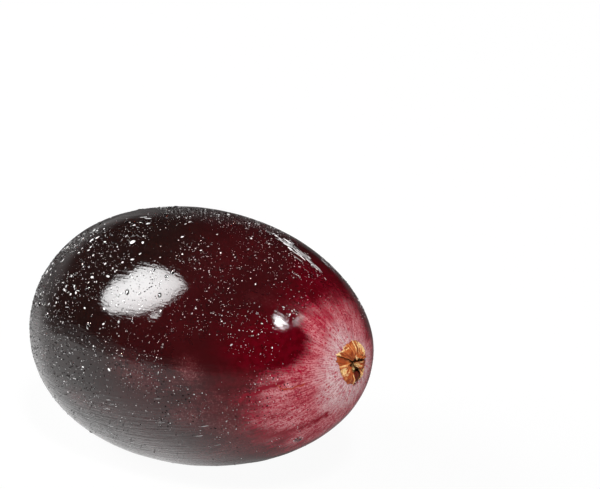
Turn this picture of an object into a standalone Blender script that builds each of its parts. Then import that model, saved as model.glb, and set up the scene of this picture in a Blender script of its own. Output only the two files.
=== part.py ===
"""An oblong fresh cranberry lying on its side: the fruit, and the dry four-lobed calyx folded over its tip.

Both pieces are turned round the fruit's own long axis, local +X towards the calyx, and hang from one empty
that pitches that axis and sets the fruit on the ground. Lengths are in metres, +Z is up.
"""

import math

import bmesh
import bpy
from mathutils import Vector

MM = 0.001

# Fruit
HALF_LENGTH = 10.5 * MM
HALF_WIDTH = 6.75 * MM
TAPER = (-0.074, 0.060, -0.046)  # slims the calyx half and fills the stalk half, by powers of the axial share
CHAMBERS = 4
CHAMBER_SWELL = 0.0035  # the seed chambers show as a faint squareness, as a share of the radius
LUMP_SHARE = 0.004  # uneven growth, as a share of the radius
FRUIT_RINGS = 52
FRUIT_SIDES = 56
RING_CROWDING = 0.80  # draws the rings towards the two ends, where the small features are

# Pose on the ground
CALYX_RAISE = math.radians(7.5)
FLAT_DEPTH = 0.32 * MM  # how far the resting spot is pressed in

# Stalk end
DIMPLE_RADIUS = 1.90 * MM
DIMPLE_DEPTH = 0.40 * MM
SCAR_RADIUS = 0.62 * MM
SCAR_LIP = 0.11 * MM  # the ring left standing where the stalk came away
SCAR_PIT = 0.12 * MM  # and the low middle inside that ring

# Calyx seat
SEAT_RADIUS = 1.24 * MM
SEAT_WALL = 0.10 * MM
SEAT_DEPTH = 0.62 * MM
CLEARANCE = 0.05 * MM  # between the calyx and the seat that holds it

# Calyx
LOBE_GAPS = tuple(math.radians(turn) for turn in (-12.0, 69.0, 152.0, 265.0))
CALYX_RADIUS = SEAT_RADIUS - CLEARANCE
EDGE_HEIGHT = 0.30 * MM  # thickness at the outer edge
CROWN_HEIGHT = 0.26 * MM  # how far the folded lobes rise above that edge
CROWN_PEAK = 0.60  # share of the radius where they are highest
CROWN_DIP = 0.35  # how much they sink again towards their tips
CROWN_FALL = 0.40  # and towards their sides
GAP_DEPTH = 0.24 * MM
GAP_SHARE = 0.22  # share of a lobe's half angle that the gap beside it takes
RIBS = 3
RIB_HEIGHT = 0.020 * MM
HOLLOW_RADIUS = 0.36 * MM
HOLLOW_DEPTH = 0.24 * MM
NOTCH_SHARE = 0.07  # how far the outline draws in between two lobes, as a share of the radius
CALYX_RINGS = 14
CALYX_SIDES = 72

MERGE = 0.001 * MM


def smooth_step(low, high, value):
    """0 below low, 1 above high, and an even S between."""
    share = min(1.0, max(0.0, (value - low) / (high - low)))
    return share * share * (3.0 - 2.0 * share)


def clear_scene():
    for obj in list(bpy.data.objects):
        bpy.data.objects.remove(obj, do_unlink=True)


def collection(name):
    made = bpy.data.collections.new(name)
    bpy.context.scene.collection.children.link(made)
    return made


def material(name, colour, roughness):
    made = bpy.data.materials.new(name)
    made.use_nodes = True
    shader = made.node_tree.nodes["Principled BSDF"]
    shader.inputs["Base Color"].default_value = (*colour, 1.0)
    shader.inputs["Roughness"].default_value = roughness
    shader.inputs["Metallic"].default_value = 0.0
    return made


def turned(profile, sides):
    """A closed shape: the (x, radius) profile, its ends on the X axis, turned once about that axis."""
    shape = bmesh.new()
    verts = [shape.verts.new((x, 0.0, radius)) for x, radius in profile]
    for first, second in zip(verts, verts[1:]):
        shape.edges.new((first, second))
    bmesh.ops.spin(
        shape,
        geom=shape.verts[:] + shape.edges[:],
        cent=(0.0, 0.0, 0.0),
        axis=(1.0, 0.0, 0.0),
        angle=2.0 * math.pi,
        steps=sides,
        use_merge=True,
    )
    bmesh.ops.remove_doubles(shape, verts=shape.verts[:], dist=MERGE)
    bmesh.ops.recalc_face_normals(shape, faces=shape.faces[:])
    return shape


def place(shape, name, look, where, parent, sharp_angle):
    mesh = bpy.data.meshes.new(name)
    shape.to_mesh(mesh)
    shape.free()
    mesh.shade_smooth()
    mesh.set_sharp_from_angle(angle=sharp_angle)
    mesh.materials.append(look)
    obj = bpy.data.objects.new(name, mesh)
    obj.parent = parent
    where.objects.link(obj)
    return obj


def outline_point(turn):
    """(axial place, radius) of the smooth outline, with turn running from 0 at the calyx to pi at the stalk."""
    share = math.cos(turn)
    fill = 1.0 + TAPER[0] * share + TAPER[1] * share**2 + TAPER[2] * share**3
    return HALF_LENGTH * share, HALF_WIDTH * math.sin(turn) * fill


def stalk_relief(radius):
    """How far the stalk end stands back from the smooth outline: a dimple, a ring in it and a pit in the ring."""
    dimple = DIMPLE_DEPTH * (1.0 - smooth_step(0.0, DIMPLE_RADIUS, radius))
    ring = SCAR_LIP * (1.0 - smooth_step(0.70 * SCAR_RADIUS, SCAR_RADIUS, radius))
    pit = SCAR_PIT * (1.0 - smooth_step(0.20 * SCAR_RADIUS, 0.75 * SCAR_RADIUS, radius))
    return dimple - ring + pit


def seat_floor():
    """Axial place of the flat floor under the calyx."""
    return HALF_LENGTH - SEAT_DEPTH


def fruit_profile():
    """The outline from the flat floor of the calyx seat to the pit in the stalk's scar."""
    floor = seat_floor()
    rim_turn = math.asin((SEAT_RADIUS + SEAT_WALL) / (HALF_WIDTH * (1.0 + sum(TAPER))))
    profile = [(floor, 0.0), (floor, 0.5 * SEAT_RADIUS), (floor, SEAT_RADIUS), outline_point(rim_turn)]
    for step in range(1, FRUIT_RINGS + 1):
        share = step / FRUIT_RINGS
        turn = math.pi * (share - RING_CROWDING * math.sin(2.0 * math.pi * share) / (2.0 * math.pi))
        if turn < 1.05 * rim_turn:
            continue
        x, radius = outline_point(turn)
        if x < 0.0:
            x += stalk_relief(radius)
        profile.append((x, max(0.0, radius)))
    return profile


def swell(share, angle):
    """Share of the radius added by the seed chambers and by uneven growth, fading out at both ends."""
    chambers = CHAMBER_SWELL * math.cos(CHAMBERS * (angle - LOBE_GAPS[0]))
    lumps = LUMP_SHARE * (
        math.sin(2.0 * angle + 1.3 + 1.9 * share)
        + 0.6 * math.sin(3.0 * angle - 0.7 - 4.1 * share)
        + 0.5 * math.cos(5.2 * share + 0.4 + angle)
    )
    return (chambers + lumps) * (1.0 - share**4)


def make_fruit(where, parent):
    shape = turned(fruit_profile(), FRUIT_SIDES)
    for vert in shape.verts:
        share = max(-1.0, min(1.0, vert.co.x / HALF_LENGTH))
        factor = 1.0 + swell(share, math.atan2(vert.co.z, vert.co.y))
        vert.co.y *= factor
        vert.co.z *= factor
    skin = material("fruit_skin", (0.150, 0.006, 0.014), 0.16)
    return place(shape, "fruit", skin, where, parent, math.radians(60.0))


def across_lobe(angle):
    """-1 in the gap on one side of a lobe, 0 along the lobe's middle and 1 in the gap on the other side."""
    for index, start in enumerate(LOBE_GAPS):
        width = (LOBE_GAPS[(index + 1) % len(LOBE_GAPS)] - start) % (2.0 * math.pi)
        inside = (angle - start) % (2.0 * math.pi)
        if inside < width:
            return 2.0 * inside / width - 1.0
    return 1.0


def lobe_height(radius, angle):
    """Height over the outer edge: lobes crowned from edge to tip and ribbed, gaps between, a hollow at the tips."""
    across = across_lobe(angle)
    out = radius / CALYX_RADIUS
    if out > CROWN_PEAK:
        rise = 1.0 - smooth_step(CROWN_PEAK, 1.0, out)
    else:
        rise = 1.0 - CROWN_DIP * (1.0 - out / CROWN_PEAK) ** 2
    crown = CROWN_HEIGHT * rise * (1.0 - CROWN_FALL * across**2)
    gap = GAP_DEPTH * smooth_step(1.0 - GAP_SHARE, 1.0, abs(across)) * (1.0 - out**4)
    ribs = RIB_HEIGHT * math.cos(RIBS * math.pi * across) * math.sin(math.pi * out)
    hollow = HOLLOW_DEPTH * (1.0 - smooth_step(0.30 * HOLLOW_RADIUS, HOLLOW_RADIUS, radius))
    return crown + ribs - gap - hollow


def make_calyx(where, parent):
    """One dry crown: flat where it sits on the fruit, its top raised by the lobes' formula."""
    floor = seat_floor() + CLEARANCE
    edge = floor + EDGE_HEIGHT
    profile = [(floor, 0.0), (floor, 0.5 * CALYX_RADIUS), (floor, 0.94 * CALYX_RADIUS)]
    profile.append((floor + 0.3 * EDGE_HEIGHT, CALYX_RADIUS))
    for step in range(CALYX_RINGS, -1, -1):
        profile.append((edge, CALYX_RADIUS * step / CALYX_RINGS))
    shape = turned(profile, CALYX_SIDES)
    for vert in shape.verts:
        radius = math.hypot(vert.co.y, vert.co.z)
        angle = math.atan2(vert.co.z, vert.co.y)
        if vert.co.x > edge - MERGE:
            vert.co.x += lobe_height(radius, angle)
        notch = NOTCH_SHARE * smooth_step(0.60, 1.0, abs(across_lobe(angle))) * (radius / CALYX_RADIUS) ** 2
        vert.co.y *= 1.0 - notch
        vert.co.z *= 1.0 - notch
    husk = material("dry_calyx", (0.420, 0.170, 0.050), 0.72)
    return place(shape, "calyx", husk, where, parent, math.radians(40.0))


def world_bounds(objects):
    """Lowest and highest corner of the objects' vertices in world space."""
    bpy.context.view_layer.update()
    points = [obj.matrix_world @ vert.co for obj in objects for vert in obj.data.vertices]
    low = Vector([min(point[axis] for point in points) for axis in range(3)])
    high = Vector([max(point[axis] for point in points) for axis in range(3)])
    return low, high


def press_flat(fruit, where):
    """Cuts the small resting spot at ground level."""
    block = 4.0 * HALF_LENGTH
    bpy.ops.mesh.primitive_cube_add(size=block, location=(0.0, 0.0, -0.5 * block))
    ground = bpy.context.object
    ground.name = "ground_cutter"
    ground.hide_render = True
    ground.display_type = "WIRE"
    for owner in list(ground.users_collection):
        owner.objects.unlink(ground)
    where.objects.link(ground)
    cut = fruit.modifiers.new("resting_spot", "BOOLEAN")
    cut.operation = "DIFFERENCE"
    cut.solver = "EXACT"
    cut.object = ground


def main():
    clear_scene()
    pieces = collection("cranberry")
    cutters = collection("cutters")
    axis = bpy.data.objects.new("fruit_axis", None)
    axis.rotation_euler = (0.0, -CALYX_RAISE, 0.0)
    pieces.objects.link(axis)

    fruit = make_fruit(pieces, axis)
    calyx = make_calyx(pieces, axis)

    low, high = world_bounds([fruit, calyx])
    middle = (low + high) / 2.0
    axis.location = (-middle.x, -middle.y, -low.z - FLAT_DEPTH)
    press_flat(fruit, cutters)


main()
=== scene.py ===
import math

import bpy
import numpy as np
from mathutils import Matrix, Vector


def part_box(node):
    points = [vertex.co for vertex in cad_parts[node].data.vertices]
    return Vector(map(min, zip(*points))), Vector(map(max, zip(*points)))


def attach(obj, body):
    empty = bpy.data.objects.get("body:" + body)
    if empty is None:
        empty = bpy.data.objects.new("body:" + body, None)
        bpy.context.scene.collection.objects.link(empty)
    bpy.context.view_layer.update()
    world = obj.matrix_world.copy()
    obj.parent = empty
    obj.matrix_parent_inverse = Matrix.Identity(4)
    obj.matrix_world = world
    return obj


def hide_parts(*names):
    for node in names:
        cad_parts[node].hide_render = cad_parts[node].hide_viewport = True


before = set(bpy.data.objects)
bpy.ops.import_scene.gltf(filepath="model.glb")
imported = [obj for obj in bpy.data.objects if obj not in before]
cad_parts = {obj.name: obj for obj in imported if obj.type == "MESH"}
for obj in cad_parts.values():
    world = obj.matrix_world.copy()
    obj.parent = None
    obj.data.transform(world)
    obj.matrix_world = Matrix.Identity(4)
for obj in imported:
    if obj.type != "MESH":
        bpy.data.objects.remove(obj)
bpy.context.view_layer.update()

mm = 0.001


# Small tools for arrays and meshes

def smoothStep(low, high, value):  # 0 below low, 1 above high, an even S between
    share = np.clip((value - low) / (high - low), 0.0, 1.0)
    return share * share * (3.0 - 2.0 * share)


def bell(value, middle, width):  # a bell of height 1
    return np.exp(-((value - middle) / width) ** 2)


def turnGap(angle, middle):  # signed angle from middle, wrapped into -pi..pi
    return (angle - middle + np.pi) % (2.0 * np.pi) - np.pi


def eased(value, pairs):  # eased steps between (place, value) pairs, level beyond both ends
    places, values = (np.array(side) for side in zip(*pairs))
    index = np.clip(np.searchsorted(places, value, side="right") - 1, 0, len(places) - 2)
    share = smoothStep(0.0, 1.0, (value - places[index]) / (places[index + 1] - places[index]))
    return values[index] + (values[index + 1] - values[index]) * share


def easedRound(angle, pairs):
    # the same all the way round: places are degrees, and after the last the curve comes back to the first
    first = pairs[0][0]
    turned = (np.degrees(angle) - first) % 360.0
    return eased(turned, [(place - first, value) for place, value in pairs] + [(360.0, pairs[0][1])])


def waves(points, wavelength, count, seed):
    # soft noise of about -1..1: a sum of sine waves in random directions, each near the given wavelength
    draw = np.random.default_rng(seed)
    total = np.zeros(points.shape[:-1])
    for _ in range(count):
        direction = draw.normal(size=points.shape[-1])
        direction /= np.linalg.norm(direction)
        pitch = 2.0 * np.pi / (wavelength * draw.uniform(0.7, 1.4))
        total += np.sin(points @ (direction * pitch) + draw.uniform(0.0, 2.0 * np.pi))
    return total / math.sqrt(count)


def meshPiece(name, points, faces, attributes=None):
    mesh = bpy.data.meshes.new(name)
    mesh.from_pydata(points.tolist(), [], faces)
    for label, values in (attributes or {}).items():
        values = np.asarray(values, np.float32)
        isVector = values.ndim == 2
        layer = mesh.attributes.new(label, "FLOAT_VECTOR" if isVector else "FLOAT", "POINT")
        layer.data.foreach_set("vector" if isVector else "value", values.ravel())
    mesh.shade_smooth()
    mesh.update()
    piece = bpy.data.objects.new(name, mesh)
    bpy.context.scene.collection.objects.link(piece)
    return piece


def ringFaces(rings, sides):
    # quads between rings of equal length, wrapping round
    ring, side = np.meshgrid(np.arange(rings - 1), np.arange(sides), indexing="ij")
    after = (side + 1) % sides
    quads = np.stack([ring * sides + side, ring * sides + after,
                      (ring + 1) * sides + after, (ring + 1) * sides + side], axis=-1)
    return quads.reshape(-1, 4)


def sheetFaces(rows, columns):  # quads of an open grid
    row, column = np.meshgrid(np.arange(rows - 1), np.arange(columns - 1), indexing="ij")
    corner = row * columns + column
    return np.stack([corner, corner + 1, corner + columns + 1, corner + columns], axis=-1).reshape(-1, 4)


def closedRings(rings):
    # vertices and faces of a stack of rings whose first and last rings have shrunk to a pole
    count, sides = rings.shape[:2]
    body = rings[1:-1].reshape(-1, 3)
    points = np.vstack([body, rings[:1, 0], rings[-1:, 0]])
    first, last = len(body), len(body) + 1
    side = np.arange(sides)
    after = (side + 1) % sides
    lastRing = (count - 3) * sides
    startFan = np.stack([np.full(sides, first), after, side], axis=-1)
    endFan = np.stack([np.full(sides, last), side + lastRing, after + lastRing], axis=-1)
    return points, ringFaces(count - 2, sides).tolist() + startFan.tolist() + endFan.tolist()


def ringValues(values):  # picks per-vertex values in the order that closedRings gives
    return np.concatenate([values[1:-1].reshape(-1), values[:1, 0], values[-1:, 0]])


# Shader tools

class Sock:
    # one output socket; arithmetic adds Math nodes
    def __init__(self, look, out):
        self.look = look
        self.out = out

    def maths(self, operation, *others, clamp=False):
        return self.look.node("ShaderNodeMath", {"operation": operation, "use_clamp": clamp}, [self, *others])

    def __add__(self, other):
        return self.maths("ADD", other)

    __radd__ = __add__

    def __sub__(self, other):
        return self.maths("SUBTRACT", other)

    def __rsub__(self, other):
        return self.look.node("ShaderNodeMath", {"operation": "SUBTRACT"}, [other, self])

    def __mul__(self, other):
        return self.maths("MULTIPLY", other)

    __rmul__ = __mul__

    def clamped(self):
        return self.maths("ADD", 0.0, clamp=True)

    def step(self, low, high):  # smooth rise from 0 at low to 1 at high; low may be the larger
        return self.look.node("ShaderNodeMapRange", {"interpolation_type": "SMOOTHSTEP"},
                              {"Value": self, "From Min": low, "From Max": high})


class Look:
    # one material: a Principled shader and the nodes that feed it
    def __init__(self, name, **plain):
        self.material = bpy.data.materials.new(name)
        self.material.use_nodes = True
        self.tree = self.material.node_tree
        self.shader = self.tree.nodes["Principled BSDF"]
        for socket, value in plain.items():
            self.shader.inputs[socket.replace("_", " ")].default_value = value

    def node(self, kind, settings=None, inputs=None, out=0):
        made = self.tree.nodes.new(kind)
        for key, value in (settings or {}).items():
            setattr(made, key, value)
        pairs = inputs.items() if isinstance(inputs, dict) else enumerate(inputs or [])
        for key, value in pairs:
            if isinstance(value, Sock):
                self.tree.links.new(value.out, made.inputs[key])
            elif isinstance(value, tuple) and made.inputs[key].type == "RGBA":
                made.inputs[key].default_value = (*value, 1.0)
            else:
                made.inputs[key].default_value = value
        return Sock(self, made.outputs[out])

    def feed(self, socket, value):
        self.tree.links.new(value.out, self.shader.inputs[socket])

    def attribute(self, name, out="Fac"):
        return self.node("ShaderNodeAttribute", {"attribute_name": name}, out=out)

    def place(self):
        return self.node("ShaderNodeTexCoord", out="Object")

    def stretched(self, vector, scale):
        return self.node("ShaderNodeVectorMath", {"operation": "MULTIPLY"}, [vector, scale])

    def noise(self, vector, scale, detail=3.0, roughness=0.55):
        return self.node("ShaderNodeTexNoise", None,
                         {"Vector": vector, "Scale": scale, "Detail": detail, "Roughness": roughness})

    def cells(self, vector, scale):
        return self.node("ShaderNodeTexVoronoi", None, {"Vector": vector, "Scale": scale}, "Distance")

    def measure(self, operation, *vectors):  # a length, a distance or a dot product
        return self.node("ShaderNodeVectorMath", {"operation": operation}, vectors, "Value")

    def mix(self, share, first, second):
        return self.node("ShaderNodeMix", {"data_type": "RGBA"}, {0: share, 6: first, 7: second}, out=2)

    def grey(self, value):
        return self.node("ShaderNodeCombineColor", None, [value, value, value])

    def bumped(self, height, distance, normal=None):
        inputs = {"Height": height, "Distance": distance}
        if normal is not None:
            inputs["Normal"] = normal
        return self.node("ShaderNodeBump", None, inputs)


# The fruit's form, the same as the solid's

fruit = {
    "halfLength": 10.5 * mm,
    "halfWidth": 6.75 * mm,
    "taper": (-0.074, 0.06, -0.046),
    "calyxRaise": math.radians(7.5),
    "chambers": 4,
    "chamberTurn": math.radians(-12.0),
    "chamberSwell": 0.0035,
    "lumpShare": 0.004,
    "dimpleRadius": 1.9 * mm,
    "dimpleDepth": 0.4 * mm,
    "scarRadius": 0.62 * mm,
    "scarLip": 0.11 * mm,
    "scarPit": 0.12 * mm,
    "seatDepth": 0.62 * mm,
    "boxRadius": 1.34 * mm,  # where the solid's outline ends at the calyx
    "lipRadius": 0.97 * mm,  # where the flesh turns in under the calyx
    "lipSlant": 0.07 * mm,  # how much narrower the wall under that lip is at its foot
    "wallRows": 9,
    "wallCurve": 0.9,  # below 1 bulges that wall
    "sides": 440,
    "rings": 212,
    "crowding": 0.66,  # draws the rings towards the two ends
    "undulation": 0.011 * mm,
    "undulationPitch": (3.4 * mm, 1.3 * mm),
    "pucker": 0.014 * mm,
    "puckerPitch": 0.15,
    "creaseSide": (math.radians(66.0), 0.42),  # angle and half width of the side with fine creases
    "meridian": 26.0 * mm,  # length on the skin that share 0 to 1 stands for, near the calyx
}

raiseTurn = np.array(Matrix.Rotation(-fruit["calyxRaise"], 3, "Y"))
seatFloor = fruit["halfLength"] - fruit["seatDepth"]


def outline(turn):
    # axial place and radius of the smooth outline; turn runs from 0 at the calyx to pi at the stalk
    share = np.cos(turn)
    low, middle, high = fruit["taper"]
    fill = 1.0 + low * share + middle * share**2 + high * share**3
    return fruit["halfLength"] * share, fruit["halfWidth"] * np.sin(turn) * fill


def turnAt(radius):  # the turn where the calyx end has that radius
    return np.arcsin(radius / (fruit["halfWidth"] * (1.0 + sum(fruit["taper"]))))


def stalkRelief(radius):
    # a dimple, a ring standing in it and a pit inside that ring
    scar = fruit["scarRadius"]
    dimple = fruit["dimpleDepth"] * (1.0 - smoothStep(0.0, fruit["dimpleRadius"], radius))
    ring = fruit["scarLip"] * (1.0 - smoothStep(0.7 * scar, scar, radius))
    pit = fruit["scarPit"] * (1.0 - smoothStep(0.2 * scar, 0.75 * scar, radius))
    return dimple - ring + pit


def swell(share, angle):
    # share of the radius added by the seed chambers and by uneven growth
    chambers = fruit["chamberSwell"] * np.cos(fruit["chambers"] * (angle - fruit["chamberTurn"]))
    lumps = fruit["lumpShare"] * (np.sin(2.0 * angle + 1.3 + 1.9 * share)
                                  + 0.6 * np.sin(3.0 * angle - 0.7 - 4.1 * share)
                                  + 0.5 * np.cos(5.2 * share + 0.4 + angle))
    return (chambers + lumps) * (1.0 - share**4)


def localPoint(along, radius, angle):
    # a point of the fruit's own frame, swelled, before it is raised and placed
    swelled = radius * (1.0 + swell(np.clip(along / fruit["halfLength"], -1.0, 1.0), angle))
    return np.stack([along + 0.0 * angle, swelled * np.cos(angle), swelled * np.sin(angle)], axis=-1)


def smoothFruit(turn, angle):  # a point of the skin without the two small reliefs of its ends
    along, radius = outline(turn)
    return localPoint(along, radius, angle) @ raiseTurn.T


def axisMiddle():
    # where the middle of the fruit's axis lies: the bare form is slid until its box meets the solid's box
    turn, angle = np.meshgrid(np.linspace(0.0, np.pi, 400), np.linspace(-np.pi, np.pi, 480), indexing="ij")
    along, radius = outline(turn)
    seatRim = outline(turnAt(fruit["boxRadius"]))[0]
    along = np.where(along < 0.0, along + stalkRelief(radius), np.minimum(along, seatRim))
    points = (localPoint(along, radius, angle) @ raiseTurn.T).reshape(-1, 3)
    low, high = (np.array(corner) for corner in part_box("fruit"))
    middle = (low + high) / 2.0 - (points.min(0) + points.max(0)) / 2.0
    middle[2] = high[2] - points[:, 2].max()
    return middle


def placed(points):  # from the raised frame to the part's own
    return points + middleOfAxis


def skinNormals(turn, angle):
    step = 1e-3
    alongWay = smoothFruit(turn + step, angle) - smoothFruit(turn - step, angle)
    roundWay = smoothFruit(turn, angle + step) - smoothFruit(turn, angle - step)
    normal = np.cross(roundWay, alongWay)
    normal /= np.linalg.norm(normal, axis=-1, keepdims=True)
    outward = np.sum(normal * smoothFruit(turn, angle), axis=-1, keepdims=True)
    return normal * np.sign(outward)


middleOfAxis = axisMiddle()
print("axis middle", middleOfAxis)


# Skin

ripening = {
    # how far each colour reaches, as a share of the way from calyx to stalk, by degrees round the fruit
    "white": ((-180, 0.096), (-165, 0.108), (-140, 0.13), (-100, 0.128), (-60, 0.11), (-30, 0.092),
              (30, 0.06), (60, 0.054), (90, 0.088), (108, 0.11), (125, 0.1), (150, 0.08)),
    "pink": ((-180, 0.206), (-167, 0.246), (-150, 0.28), (-138, 0.262), (-110, 0.262), (-60, 0.205),
             (0, 0.13), (30, 0.104), (60, 0.146), (80, 0.164), (97, 0.153), (110, 0.18), (122, 0.188),
             (132, 0.16), (141, 0.13), (155, 0.13), (166, 0.15), (175, 0.186)),
    "red": ((-180, 0.306), (-162, 0.35), (-145, 0.35), (-115, 0.345), (-60, 0.27), (0, 0.22), (55, 0.285),
            (80, 0.292), (110, 0.238), (130, 0.236), (150, 0.296), (165, 0.306)),
    # half the width of each border, as a share of that way
    "whiteFade": 0.03,
    "pinkFade": ((-180, 0.05), (-150, 0.066), (-90, 0.06), (0, 0.062), (60, 0.08), (85, 0.062), (100, 0.044),
                 (120, 0.036), (142, 0.024), (160, 0.024)),
    "redFade": 0.07,
    # marks on the skin: half width in mm, strength and a chain of (share, degrees) points
    "redStreaks": (
        (0.14, 1.0, ((0.27, -167.5), (0.255, -170.8), (0.238, -171), (0.226, -174.4), (0.206, -174.6),
                     (0.184, -176.6))),
        (0.36, 0.7, ((0.285, -134), (0.25, -133), (0.218, -129.5), (0.19, -124.5), (0.165, -120),
                     (0.148, -116.5))),
        (0.34, 0.5, ((0.25, -150), (0.2, -149))),
        (0.3, 0.5, ((0.285, -140), (0.235, -139))),
    ),
    "hazes": (
        (0.34, 0.1, ((0.275, 127.5), (0.235, 125), (0.2, 122.5))),
        (0.5, 0.5, ((0.36, 173.5), (0.345, 178))),
        (0.75, 0.26, ((0.47, 176), (0.44, 178), (0.39, -178))),
        (0.9, 0.34, ((0.345, -172), (0.3, -166))),
        (0.95, 0.42, ((0.372, -162), (0.34, -160), (0.31, -150))),
        (0.6, 0.26, ((0.605, -163), (0.588, -162))),
        (0.45, 0.22, ((0.556, -161.5), (0.54, -161))),
        (1.05, 0.4, ((0.38, -132), (0.31, -134))),
    ),
    "scratch": ((0.192, -172.6), (0.184, -169.6), (0.178, -170.6), (0.17, -168.6), (0.163, -169.4),
                (0.156, -170.6), (0.149, -169.2), (0.14, -170.6)),
    "scratchWidth": 0.046,
}


def pathGap(share, angle, radius, path):
    # distance on the skin to a chain of short lines, in mm, below 0 on one side of it
    nearest = np.full(share.shape, 1000.0)
    for (shareA, degreesA), (shareB, degreesB) in zip(path, path[1:]):
        nearby = float(outline(np.pi * shareA)[1])
        x = (share - shareA) * fruit["meridian"] / mm
        y = turnGap(angle, math.radians(degreesA)) * radius / mm
        dx = (shareB - shareA) * fruit["meridian"] / mm
        dy = turnGap(math.radians(degreesB), math.radians(degreesA)) * nearby / mm
        on = np.clip((x * dx + y * dy) / (dx * dx + dy * dy), 0.0, 1.0)
        gap = np.hypot(x - on * dx, y - on * dy) * np.where(x * dy - y * dx < 0.0, -1.0, 1.0)
        nearest = np.where(np.abs(gap) < np.abs(nearest), gap, nearest)
    return nearest


def nearPaths(share, angle, radius, marks):
    # the largest of all marks' bells of the distance to their chains
    total = np.zeros(share.shape)
    for width, strength, path in marks:
        gap = pathGap(share, angle, radius, path)
        total = np.maximum(total, strength * bell(gap, 0.0, width))
    return total


def makeSkin():
    # rows of points, each a ring, from the floor under the calyx, over the lip that holds it and along the
    # outline to the scar
    rows = np.arange(1, fruit["rings"]) / fruit["rings"]
    turns = np.pi * (rows - fruit["crowding"] * np.sin(2.0 * np.pi * rows) / (2.0 * np.pi))
    lipAlong, lipRadius = outline(turnAt(fruit["lipRadius"]))
    turns = turns[turns > 1.03 * turnAt(lipRadius)]
    wall = np.linspace(0.0, 1.0, fruit["wallRows"])
    wallRadius = lipRadius - fruit["lipSlant"] + fruit["lipSlant"] * wall**2
    wallAlong = seatFloor + (lipAlong - seatFloor) * np.sin(0.5 * np.pi * wall) ** fruit["wallCurve"]
    wallShare = np.full(fruit["wallRows"], turnAt(lipRadius) / np.pi)
    mainAlong, mainRadius = outline(turns)
    mainAlong = np.where(mainAlong < 0.0, mainAlong + stalkRelief(mainRadius), mainAlong)
    endAlong = outline(np.pi)[0] + stalkRelief(0.0)
    alongs = np.concatenate([[seatFloor, seatFloor], wallAlong, mainAlong, [endAlong]])
    radii = np.concatenate([[0.0, 0.5 * lipRadius], wallRadius, mainRadius, [0.0]])
    shares = np.concatenate([[0.0, 0.01], wallShare, turns / np.pi, [1.0]])

    angles = np.linspace(-np.pi, np.pi, fruit["sides"], endpoint=False)
    along, angle = np.meshgrid(alongs, angles, indexing="ij")
    radius = radii[:, None] + 0.0 * angle
    share = shares[:, None] + 0.0 * angle
    points = localPoint(along, radius, angle)

    # undulation of the whole skin, and fine puckers that run out from the calyx
    outward = skinNormals(np.pi * np.clip(share, 0.02, 0.98), angle) @ raiseTurn
    mainPart = smoothStep(0.04, 0.08, share) * (1.0 - smoothStep(0.93, 0.97, share))
    wide, narrow = (waves(points, pitch, 14, seed) for pitch, seed in zip(fruit["undulationPitch"], (3, 4)))
    relief = fruit["undulation"] * mainPart * (wide + 0.35 * narrow)
    ringWay = np.stack([np.cos(angle), np.sin(angle), 0.9 * share], axis=-1)
    puckerPart = smoothStep(0.045, 0.06, share) * (1.0 - smoothStep(0.06, 0.13, share))
    relief += fruit["pucker"] * puckerPart * waves(ringWay, fruit["puckerPitch"], 18, 5)
    points = placed((points + outward * relief[..., None]) @ raiseTurn.T)
    points[..., 2] = np.maximum(points[..., 2], 0.0)

    # fine creases on the underside, the stalk end and one side, none near the calyx
    under = smoothStep(0.05, -0.45, (outward @ raiseTurn.T)[..., 2])
    sideAngle, sideWidth = fruit["creaseSide"]
    oneSide = bell(turnGap(angle, sideAngle), 0.0, sideWidth)
    creased = np.maximum(np.maximum(under, smoothStep(0.64, 0.76, share)), oneSide)
    creased *= smoothStep(0.3, 0.45, share)
    scar = np.where(along < 0.0, 1.0 - smoothStep(0.85, 1.15, radius / fruit["scarRadius"]), 0.0)
    scratchGap = pathGap(share, angle, radius, ripening["scratch"])
    pinkFade = easedRound(angle, ripening["pinkFade"])
    marks = {
        "pastWhite": (share - easedRound(angle, ripening["white"])) / ripening["whiteFade"],
        "pastPink": (share - easedRound(angle, ripening["pink"])) / pinkFade,
        "pastRed": (share - easedRound(angle, ripening["red"])) / ripening["redFade"],
        "redStreak": nearPaths(share, angle, radius, ripening["redStreaks"]),
        "scratch": np.where(np.abs(scratchGap) < 1.0, scratchGap, 1.0),
        "haze": nearPaths(share, angle, radius, ripening["hazes"]),
        "creased": creased,
        "scar": scar,
    }
    attributes = {label: ringValues(values) for label, values in marks.items()}
    way = [ringValues(values) for values in (np.cos(angle), np.sin(angle), share)]
    vertices, faces = closedRings(points)
    piece = meshPiece("berrySkin", vertices, faces, {"meridian": np.stack(way, axis=-1), **attributes})
    piece.data.materials.append(skinLook())
    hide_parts("fruit")
    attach(piece, "root")
    return piece


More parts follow.
